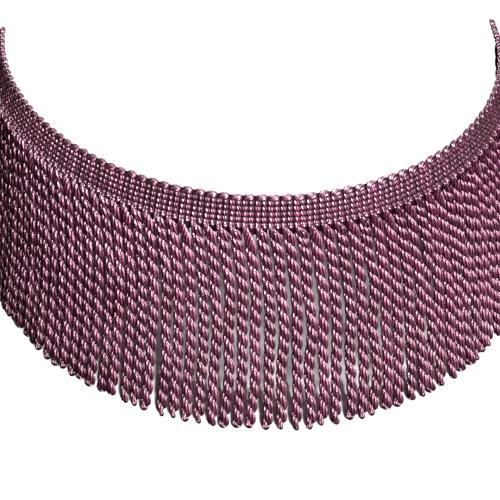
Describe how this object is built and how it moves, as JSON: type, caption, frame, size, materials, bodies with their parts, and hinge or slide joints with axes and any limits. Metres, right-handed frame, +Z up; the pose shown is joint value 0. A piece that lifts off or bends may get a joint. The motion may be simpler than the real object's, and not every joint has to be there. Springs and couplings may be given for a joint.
{
  "type": "bullion fringe trim",
  "caption": "Plum rayon bullion fringe hanging in a half-round curve: a woven looped heading with a skirt of twisted cords ending in small loops.",
  "frame": {"origin": "foremost point of the heading's top edge, at the top of its loops", "axes": "+Z up, the trim's convex front faces -Y, and +X is to the right as seen from the front"},
  "size_m": [0.2352, 0.1456, 0.1011],
  "materials": {
    "heading": "woven satin rayon yarn, plum",
    "bullion": "S-twisted two-ply satin rayon cord, plum"
  },
  "bodies": {
    "root": {"heading": "heading", "bullion_cords_1": "bullion", "bullion_cords_2": "bullion", "bullion_cords_3": "bullion", "bullion_cords_4": "bullion", "bullion_cords_5": "bullion", "bullion_cords_6": "bullion", "bullion_cords_7": "bullion", "bullion_cords_8": "bullion"}
  },
  "joints": []
}
